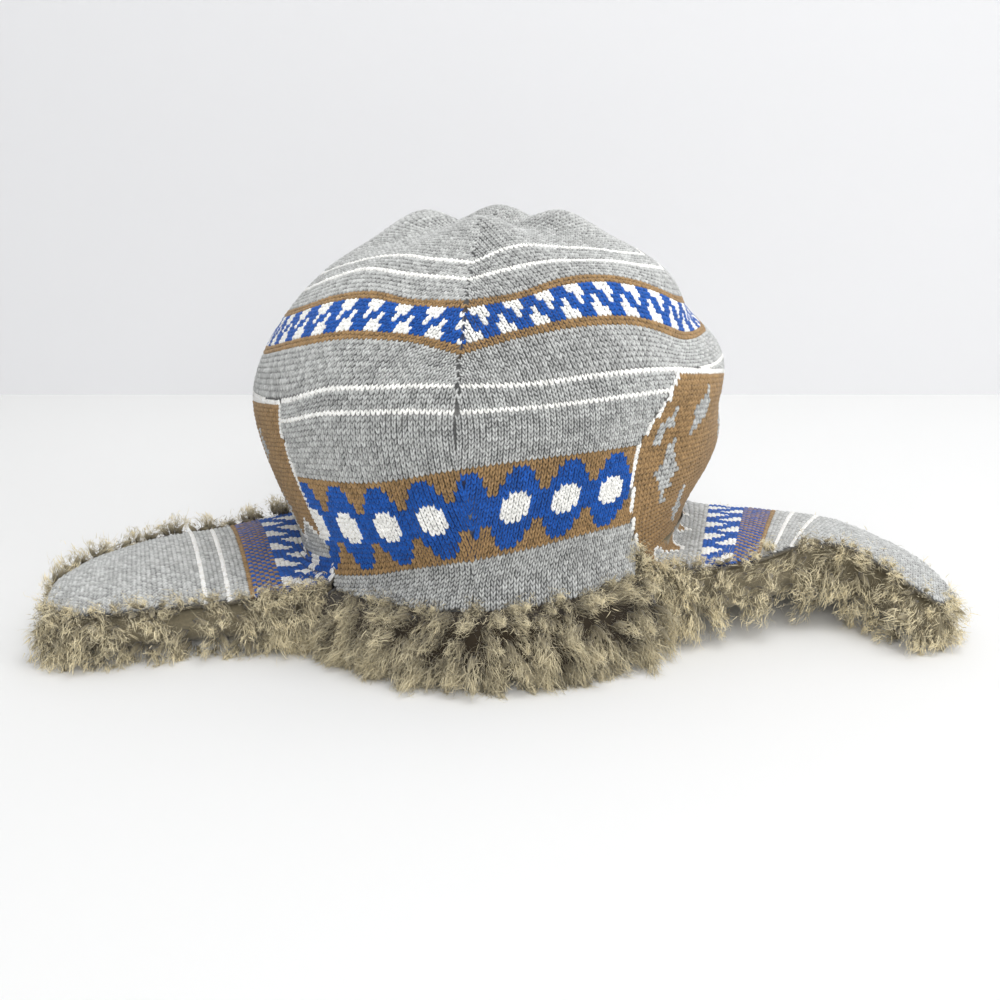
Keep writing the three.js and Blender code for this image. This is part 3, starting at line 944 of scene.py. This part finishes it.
def fibre_material(name, colour_attribute, scale, contrast, sheen, roughness):
    material = bpy.data.materials.new(name)
    material.use_nodes = True
    tree = material.node_tree
    shader = tree.nodes["Principled BSDF"]
    shader.inputs["Roughness"].default_value = roughness
    shader.inputs["Specular IOR Level"].default_value = 0.15
    shader.inputs["Sheen Weight"].default_value = sheen
    shader.inputs["Sheen Roughness"].default_value = 0.6
    fibres = tree.nodes.new("ShaderNodeGroup")
    fibres.node_tree = FIBRES
    fibres.inputs["Scale"].default_value = scale
    fibres.inputs["Contrast"].default_value = contrast
    colour = tree.nodes.new("ShaderNodeAttribute")
    colour.attribute_name = colour_attribute
    tone = tree.nodes.new("ShaderNodeAttribute")
    tone.attribute_name = "tone"
    tree.links.new(colour.outputs["Color"], fibres.inputs["Colour"])
    tree.links.new(tone.outputs["Fac"], fibres.inputs["Tone"])
    tree.links.new(fibres.outputs["Colour"], shader.inputs["Base Color"])
    bump = tree.nodes.new("ShaderNodeBump")
    bump.inputs["Strength"].default_value = 0.35
    bump.inputs["Distance"].default_value = 0.0003
    tree.links.new(fibres.outputs["Height"], bump.inputs["Height"])
    tree.links.new(bump.outputs["Normal"], shader.inputs["Normal"])
    return material


WOOL = fibre_material("wool_yarn", "yarn", 1100, 0.85, 0.2, 0.9)

# %% [markdown]
# ## Knitting the pieces
#
# Now every stitch place becomes a stitch. Small seeded changes of size and tilt keep the rows from looking
# machine-drawn. Each stitch gets its own cell of the map, so its colour can be kept when the hat is used
# elsewhere, and the wall is joined in below it.

# %% Knit
rng = np.random.default_rng(7)
YARN_VARIES = np.array([0.55, 0.2, 0.4, 0.4])
# how strongly each yarn takes the legs' painted highlight and painted shade
YARN_PAINTED_LIGHT_GAIN = np.array([1.1, 0.35, 0.8, 0.7])


def cells(count, points, low, high):
    """Map places: one square cell for each copy, filled by the copy's own x and y."""
    side = math.ceil(math.sqrt(count))
    i, j = np.divmod(np.arange(count), side)
    span = np.ptp(points[:, :2], axis=0)
    inner = 0.1 + 0.8 * (points[:, :2] - points[:, :2].min(0)) / span
    corner = np.stack([j, i], 1) / side
    uv = (corner[:, None] + inner[None] / side).reshape(-1, 2)
    uv[:, 1] = low + (high - low) * uv[:, 1]
    return uv


def join(name, meshes):
    objects = [new_object(name if i == 0 else f"{name}_{i}", mesh) for i, mesh in enumerate(meshes)]
    with bpy.context.temp_override(active_object=objects[0], object=objects[0], selected_objects=objects,
                                   selected_editable_objects=objects):
        bpy.ops.object.join()
    return objects[0]


def knit_piece(node, wall, stitches, sign):
    right, up = stitches["right"], stitches["up"]
    out = unit(np.cross(right, up)) * sign
    count = len(right)
    size = np.stack([
        np.full(count, WALE), np.clip(np.linalg.norm(up, axis=1), 1.2, 3.2), np.ones(count)], 1)
    size *= rng.normal(1, 0.06, (count, 3)).clip(0.85, 1.15)
    upward = unit(unit(up) + 0.09 * rng.normal(size=(count, 1)) * unit(right))
    place = stitches["place"] + out * (OUTER - 0.02)
    mesh = scatter("stitches", place, out, upward, size, stitch_source, WOOL)
    each = len(STITCH_POINTS)
    yarn = stitches["yarn"]
    tone = 0.5 + (rng.random(count) - 0.5) * YARN_VARIES[yarn]
    set_colours(mesh, "yarn", np.repeat(PALETTE[yarn], each, axis=0))
    # tone: random heather for each stitch, plus the legs' painted highlight and painted shade
    set_values(mesh, "tone", np.repeat(tone, each) + (YARN_PAINTED_LIGHT_GAIN[yarn][:, None] * STITCH_PAINTED_LIGHT).ravel())
    set_map(mesh, cells(count, STITCH_POINTS, WALL_MAP, 1))
    wall.materials.append(WOOL)
    piece = join("knit_" + node, [wall, mesh])
    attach(piece, "root")
    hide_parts(node)
    return piece


for name, gore in gores.items():
    piece = knit_piece("crown_" + name, walls["crown_" + name], gore["stitches"], 1)
    print(piece.name, len(piece.data.polygons), "faces")
for name, strip in strips.items():
    sign = strip["ear"]["sign"]
    piece = knit_piece("ear_flap_" + name, walls["ear_flap_" + name], strip["stitches"], sign)
    print(piece.name, len(piece.data.polygons), "faces")

# %% [markdown]
# ## The sherpa's backing
#
# Sherpa is a pile cloth: hairs stand on a backing in curled locks. The backing of the roll under the rim is a
# bar with a rounded section, swept round the hat. The backing under a flap fills the space between the
# cloth and the table and swells out past the flap's edges.

# %% Backing
ROLL = np.array([  # out from the rim, rise as a share of the rim's height
    (2.5, 0.93),
    (7, 0.86),
    (11, 0.6),
    (12, 0.25),
    (8, 0.02),
    (-11, 0.02),
    (-12, 0.5),
])
SIDE = np.array([  # the same for a flap's edge
    (-4, 0.86),
    (-1.5, 0.8),
    (1, 0.55),
    (1, 0.25),
    (-1.5, 0.06),
])
KNIT_WALL = 3.4
TURN_UP = 1.4


def rim_out(angle):
    step = crown_point(angle + 0.5, 0.2) - crown_point(angle - 0.5, 0.2)
    return unit(np.stack([step[..., 1], -step[..., 0], 0 * step[..., 0]], -1))


def loft(sections):
    """Closed bar through sections of equal count: points and faces, with flat ends."""
    rows, columns = sections.shape[:2]
    i, j = np.meshgrid(np.arange(rows - 1), np.arange(columns), indexing="ij")
    a, b = (i * columns + j).ravel(), (i * columns + (j + 1) % columns).ravel()
    faces = np.stack([a, b, b + columns, a + columns], 1).tolist()
    faces += [list(range(columns))[::-1], list(range((rows - 1) * columns, rows * columns))]
    return sections.reshape(-1, 3), faces


def rim_sections(start, end, steps=70):
    angle = np.linspace(start, end, steps)
    rim, out = crown_point(angle, 0), rim_out(angle)
    inside = [crown_point(angle, level) - KNIT_WALL * out for level in (TURN_UP, TURN_UP / 2, 0.05)]
    profile = row_at(ROLL, np.linspace(0, len(ROLL) - 1, 25))
    roll = [np.concatenate([(rim + out * o)[:, :2], rim[:, 2:] * r], 1) for o, r in profile]
    last = crown_point(angle, TURN_UP) - (KNIT_WALL + 7) * out
    return np.stack(inside + roll + [last], 1)


def edge_out(ear, across, along):
    """Outward direction, level with the table, at one edge of a flap."""
    point = ear_point(ear, across, along)
    inner = ear_point(ear, np.full_like(along, 0.5), np.minimum(along, 2.88))
    flat = point - inner
    flat[..., 2] = 0
    return point, unit(flat)


def lift_at(ear, along):
    return flap_row(ear, np.maximum(along - 2, 0))[..., 7]


def flap_sections(ear):
    along = np.concatenate([np.linspace(1.0, 2, 14), np.linspace(2.03, 3, 34)])
    fade = np.clip((along - 1.1) / 0.7, 0, 1)[:, None]
    rows = []
    for across, order in ((0.0, 1), (1.0, -1)):
        point, out = edge_out(ear, np.full_like(along, across), along)
        low = np.where(along < 2, np.maximum(point[:, 2] - 19, 0.3), lift_at(ear, along) + 0.3)[:, None]
        profile = row_at(SIDE, np.linspace(0, len(SIDE) - 1, 13))[::order]
        for o, r in profile:
            spot = point + out * (o * fade - 2.5)
            spot[:, 2:] = low + (point[:, 2:] - KNIT_WALL - low) * min(r + 0.1, 1)
            rows.append(spot)
        if order == 1:
            for share in (0.25, 0.5, 0.75):
                middle = ear_point(ear, np.full_like(along, share), along)
                middle[:, 2] = low[:, 0]
                rows.append(middle)
    for share in (0.75, 0.5, 0.25):
        middle = ear_point(ear, np.full_like(along, share), along)
        middle[:, 2] -= KNIT_WALL + 0.6
        rows.append(middle)
    return np.stack(rows, 1)


# %% [markdown]
# ## Locks and hairs
#
# The pile lies in comma-shaped locks. Each lock has a core, a bent drop that casts the dark gaps between
# locks and is coloured with painted shade, and a coat of hairs that follow its bend. First we place the
# locks in rows along an edge, each turned a little differently, then we put hair roots on every core.

# %% Lock places
LOCK_LONG, LOCK_WIDE = 11.5, 4.0
LOCK_STEP = 6.3


def lay_locks(edge, length, rows, step=LOCK_STEP):
    """Locks in rows along an edge: root, direction, bend direction and size."""
    count = max(2, round(length / step))
    found = []
    for rise, out_by, tip, big in rows:
        share = (np.arange(count) + 0.5 + rng.uniform(-0.35, 0.35, count)) / count
        point, out, top, bottom = edge(np.clip(share, 0.01, 0.99))
        side = np.stack([-out[:, 1], out[:, 0], 0 * out[:, 0]], 1)
        root = point + out * (out_by - 4 + rng.uniform(-1.2, 1.2, count))[:, None]
        root[:, 2] = bottom + (top - bottom) * np.clip(rise + rng.uniform(-0.07, 0.07, count), 0.04, 1)
        slant = rng.uniform(-1.3, 1.3, (count, 1))
        way = out * 0.6 + side * slant
        way[:, 2] = tip + rng.uniform(-0.5, 0.5, count)
        way = unit(way)
        bend = side * -np.sign(slant) * rng.uniform(0.3, 1.0, (count, 1))
        bend[:, 2] -= rng.uniform(0.0, 0.6, count)
        bend = unit(bend - way * np.sum(bend * way, 1, keepdims=True))
        size = big * rng.uniform(0.8, 1.2, count)
        found.append((root, way, bend, size))
    return [np.concatenate(parts) for parts in zip(*found)]


def rim_edge(start, end):
    def edge(share):
        angle = start + (end - start) * share
        rim = crown_point(angle, 0)
        return rim, rim_out(angle), rim[:, 2], 0 * angle
    return edge


def flap_edge(ear, across, start, end):
    def edge(share):
        along = start + (end - start) * share
        point, out = edge_out(ear, np.full_like(along, across), along)
        return point, out, point[:, 2] + 0.5, lift_at(ear, along)
    return edge


def tip_edge(ear):
    def edge(share):
        along = np.full_like(share, 2.97)
        point, out = edge_out(ear, share, along)
        return point, out, point[:, 2] - 2, 0 * share
    return edge


# %% [markdown]
# ## Hair shapes
#
# A hair is a thin ribbon that tapers to a point. Four kinds with different bends are enough, because each
# copy is turned and stretched differently. The hair grows along y and bends towards x.

# %% Hair mesh
HAIR_BENDS = (0.5, 1.2, 1.9, 2.6)
HAIR_PARTS = 3


def hair_mesh(bend):
    points, faces = [], []
    x = y = 0.0
    for i in range(HAIR_PARTS + 1):
        t = i / HAIR_PARTS
        angle = bend * t
        wide = 0.5 * (1 - t) ** 0.6 if i < HAIR_PARTS else 0
        points += [(x, y, -wide), (x, y, wide)] if wide else [(x, y, 0)]
        x += math.sin(angle + bend / 8) / HAIR_PARTS
        y += math.cos(angle + bend / 8) / HAIR_PARTS
    for i in range(HAIR_PARTS - 1):
        a = 2 * i
        faces += [(a, a + 2, a + 3), (a, a + 3, a + 1)]
    last = 2 * HAIR_PARTS - 2
    faces.append((last, last + 2, last + 1))
    mesh = bpy.data.meshes.new("hair")
    mesh.from_pydata(points, [], faces)
    mesh.shade_smooth()
    return mesh, np.array(points)


HAIRS = []
for bend in HAIR_BENDS:
    mesh, points = hair_mesh(bend)
    HAIRS.append((bpy.data.objects.new("hair_source", mesh), points))
HAIR_SHARE = np.repeat(np.arange(HAIR_PARTS + 1) / HAIR_PARTS, [2] * HAIR_PARTS + [1])

DROP_SIDES, DROP_RINGS = 6, 3


def drop_mesh():
    """Core of a lock: a round drop along y, one unit long, bent towards x."""
    points = [(0, 0, 0)]
    for i in range(1, DROP_RINGS + 1):
        t = i / (DROP_RINGS + 1)
        radius = math.sin(math.pi * t**0.8) * (1 - 0.25 * t)
        for k in range(DROP_SIDES):
            turn = 2 * math.pi * k / DROP_SIDES
            points.append((radius * math.cos(turn) + 0.6 * t * t, t, radius * math.sin(turn)))
    points.append((0.6, 1, 0))
    faces = []
    for k in range(DROP_SIDES):
        n = (k + 1) % DROP_SIDES
        faces.append((0, 1 + k, 1 + n))
        for i in range(DROP_RINGS - 1):
            a, b = 1 + i * DROP_SIDES, 1 + (i + 1) * DROP_SIDES
            faces.append((a + k, b + k, b + n, a + n))
        a = 1 + (DROP_RINGS - 1) * DROP_SIDES
        faces.append((a + n, a + k, len(points) - 1))
    mesh = bpy.data.meshes.new("drop")
    mesh.from_pydata(points, [], faces)
    mesh.shade_smooth()
    return mesh, np.array(points)


drop, DROP_POINTS = drop_mesh()
drop_source = bpy.data.objects.new("drop_source", drop)
print("faces in a hair and a drop:", len(HAIRS[0][0].data.polygons), len(drop.polygons))

# %% [markdown]
# ## Growing the sherpa
#
# Hair roots are spread all along each lock's core. A hair starts along the lock, leans outwards and
# bends with it; some are loose and a few stand off. Roots get painted shade and tips are light, and this
# painted depth is what makes deep pile look deep.

# %% Grow
SHERPA = fibre_material("sherpa_pile", "pile", 700, 0.35, 0.3, 0.85)
# painted shade: the dark root colour stands for the shade deep in the pile; hairs and cores blend from it to
# the tip colour
PILE_SHADED_ROOT = np.array(linear(48, 38, 22))
PILE_TIP = np.array(linear(234, 221, 184))
HAIR_WIDE = 0.25


def turned(root, way, bend, size, t):
    """Point and direction on a lock's bent middle line."""
    long = (LOCK_LONG * size)[:, None]
    point = root + way * long * t + bend * 0.6 * LOCK_WIDE * size[:, None] * 1.6 * t * t
    return point, unit(way * long + bend * 1.2 * LOCK_WIDE * size[:, None] * 1.6 * t)


def hairs_on(locks, each):
    root, way, bend, size = (np.repeat(part, each, axis=0) for part in locks)
    lock = np.repeat(np.arange(len(locks[0])), each)
    count = len(root)
    t = rng.uniform(0.0, 0.95, (count, 1))
    point, along = turned(root, way, bend, size, t)
    turn = rng.uniform(0, 2 * math.pi, (count, 1))
    third = np.cross(way, bend)
    radial = unit(np.cos(turn) * bend + np.sin(turn) * third)
    radius = LOCK_WIDE * size[:, None] * np.sin(math.pi * (0.12 + 0.88 * t) ** 0.9) * 0.85
    stray = rng.random((count, 1)) < 0.06
    loose = rng.random((count, 1)) < 0.38
    radius = np.where(loose, LOCK_WIDE * 1.3 * rng.uniform(0.1, 1, (count, 1)), radius)
    upward = unit(along + radial * np.where(stray, 0.9, rng.uniform(0.05, 0.5, (count, 1)))
                  + np.where(loose, 0.4, 0.15) * rng.normal(size=(count, 3)))
    inward = unit(bend * 0.6 - radial * 0.7 + np.where(loose, 0.8, 0.25) * rng.normal(size=(count, 3)))
    long = LOCK_LONG * size * rng.uniform(0.26, 0.54, count) * np.where(stray[:, 0], 1.5, 1)
    wide = HAIR_WIDE * rng.uniform(0.7, 1.3, count) * np.where(stray[:, 0], 0.6, 1)
    return point + radial * radius, np.cross(inward, upward), upward, np.stack([long, long, wide], 1), lock, t


def pile_mix(mix):
    return PILE_SHADED_ROOT * (1 - mix) + PILE_TIP * mix


def backing_mesh(node, sections, backing_shade_mix):
    points, faces = loft(sections)
    mesh = new_mesh(node, points, faces)
    mesh.shade_smooth()
    mesh.materials.append(SHERPA)
    # painted shade: the backing takes a share of the way from the shaded root colour to the tip, for the shade
    # between locks
    set_colours(mesh, "pile", np.tile(pile_mix(backing_shade_mix), (len(points), 1)))
    set_values(mesh, "tone", np.full(len(points), 0.5))
    rows, columns = sections.shape[:2]
    i, j = np.divmod(np.arange(rows * columns), columns)
    set_map(mesh, np.stack([i / (rows - 1), WALL_MAP * 0.96 * j / (columns - 1)], 1))
    return mesh


CORE_SCALE = (0.4, 0.75, 0.4)
# painted shade on the cores: their colour goes only this share of the way from the shaded root colour to the
# tip
CORE_SHADED_MIX = 0.5
CORE_MAP = 0.2


def core_mesh(node, locks, lock_tone):
    root, way, bend, size = locks
    scale = np.stack([LOCK_WIDE * size, LOCK_LONG * size, LOCK_WIDE * size], 1) * CORE_SCALE
    mesh = scatter(node, root, np.cross(bend, way), way, scale, drop_source, SHERPA)
    # painted shade: each core is the shaded root colour at its root and lightens only partway towards its top
    set_colours(mesh, "pile", pile_mix(np.tile(DROP_POINTS[:, 1:2], (len(root), 1)) * CORE_SHADED_MIX))
    set_values(mesh, "tone", np.repeat(lock_tone, len(DROP_POINTS)))
    set_map(mesh, cells(len(root), DROP_POINTS, WALL_MAP, CORE_MAP))
    return mesh


def hair_meshes(node, locks, lock_tone, each, bright):
    places, facing, upward, sizes, lock, start = hairs_on(locks, each)
    kind = rng.integers(0, 4, len(locks[0]))[lock] + rng.integers(0, 2, len(places))
    kind = np.clip(kind, 0, len(HAIRS) - 1)
    band = np.linspace(CORE_MAP, 1, len(HAIRS) + 1)
    meshes = []
    for k, (source, shape) in enumerate(HAIRS):
        mine = kind == k
        count = int(mine.sum())
        mesh = scatter(node, places[mine], facing[mine], upward[mine], sizes[mine], source, SHERPA)
        # painted shade deep in the pile: a hair is darker near the lock's root and near its own root
        mix = 0.95 * np.repeat(start[mine], len(shape), axis=0) + 0.35 * np.tile(HAIR_SHARE, count)[:, None]
        # bright is painted light: it lightens or darkens a piece's hairs for how brightly the piece is lit
        set_colours(mesh, "pile", pile_mix(np.clip(mix * bright, 0, 1)))
        tone = lock_tone[lock[mine]] + rng.uniform(-0.3, 0.3, count)
        set_values(mesh, "tone", np.repeat(tone, len(shape)))
        set_map(mesh, cells(count, shape, band[k], band[k + 1]))
        meshes.append(mesh)
    return meshes


LOWEST = 0.0003


def grow_sherpa(node, sections, locks, each, backing_shade_mix, bright):
    """Backing, cores and hairs as one piece, with no hair below the table."""
    lock_tone = rng.uniform(0.15, 0.9, len(locks[0]))
    parts = [backing_mesh(node, sections, backing_shade_mix), core_mesh(node, locks, lock_tone)]
    parts += hair_meshes(node, locks, lock_tone, each, bright)
    piece = join(node.replace("sherpa", "pile"), parts)
    place = np.empty(len(piece.data.vertices) * 3, np.float32)
    piece.data.vertices.foreach_get("co", place)
    place[2::3] = np.maximum(place[2::3], LOWEST)
    piece.data.vertices.foreach_set("co", place)
    piece.data.update()
    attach(piece, "root")
    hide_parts(node)
    print(piece.name, len(locks[0]), "locks,", len(piece.data.polygons), "faces")


NECK_ROWS = [  # rise, out, tip, size
    (1.00, 5, 0.30, 0.6),
    (0.88, 9, 0.00, 0.85),
    (0.70, 13, -0.30, 1.0),
    (0.48, 14, -0.50, 1.1),
    (0.28, 14, -0.45, 1.1),
    (0.12, 12, -0.15, 0.95),
]
EDGE_ROWS = [
    (1.02, 4, 0.60, 0.6),
    (0.96, 5, 0.20, 0.75),
    (0.85, 6, 0.00, 0.85),
    (0.72, 7, -0.20, 0.95),
    (0.55, 8, -0.30, 1.0),
    (0.38, 8, -0.35, 1.0),
    (0.22, 7, -0.25, 0.9),
    (0.08, 5, -0.05, 0.8),
]
FAR_ROWS = [
    (1.05, 2, 0.40, 0.7),
    (0.90, 4, 0.30, 0.75),
    (0.55, 5, 0.05, 0.8),
    (0.25, 5, -0.10, 0.8),
]
TIP_ROWS = [
    (1.00, 0, 0.20, 0.6),
    (0.78, 1, 0.10, 0.7),
    (0.50, 2, -0.20, 0.8),
    (0.22, 1, -0.10, 0.8),
]
left, right = EARS["left"], EARS["right"]
neck_from, neck_to = left["panel"][-1, 0], right["panel"][-1, 0]
brow_from, brow_to = right["panel"][-1, 2], left["panel"][-1, 2] + 360
neck_locks = lay_locks(rim_edge(neck_from + 6, neck_to - 1), 190, NECK_ROWS)
# painted shade on the neck roll under the rim: hairs darkened to 0.8 and the darkest backing
grow_sherpa("sherpa_neck", rim_sections(neck_from, neck_to), neck_locks, 180, 0.0, 0.8)
brow_locks = lay_locks(rim_edge(brow_from + 1, brow_to - 1), 280, FAR_ROWS)
grow_sherpa("sherpa_brow", rim_sections(brow_from, brow_to), brow_locks, 45, 0.2, 1.0)
TOP_FROM = {"left": 1.4, "right": 1.05}
NEAR_FROM = {"left": 1.15, "right": 1.05}
# painted light: the right flap's fur is lightened more, as it is lit more from the right
FUR_PAINTED_LIGHT = {"left": 1.05, "right": 1.3}
FAR_SEEN = {"left": FAR_ROWS, "right": FAR_ROWS[2:]}
for name, ear in EARS.items():
    groups = [
        lay_locks(flap_edge(ear, 0.0, TOP_FROM[name], 2.93), 130, EDGE_ROWS[:3], 5.4),
        lay_locks(flap_edge(ear, 0.0, NEAR_FROM[name], 2.93), 145, EDGE_ROWS[3:], 5.6),
        lay_locks(flap_edge(ear, 1.0, 1.85, 2.93), 115, FAR_SEEN[name], 3.6),
        lay_locks(tip_edge(ear), 34, TIP_ROWS, 5.0),
    ]
    locks = [np.concatenate(parts) for parts in zip(*groups)]
    grow_sherpa("sherpa_flap_" + name, flap_sections(ear), locks, 74, 0.3, FUR_PAINTED_LIGHT[name])

# %% [markdown]
# ## Count and finish
#
# The triangles of every shown piece are counted and printed.

# %% Finish
total = sum(len(p.vertices) - 2 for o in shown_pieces() for p in o.data.polygons)
print("triangles in all:", total)
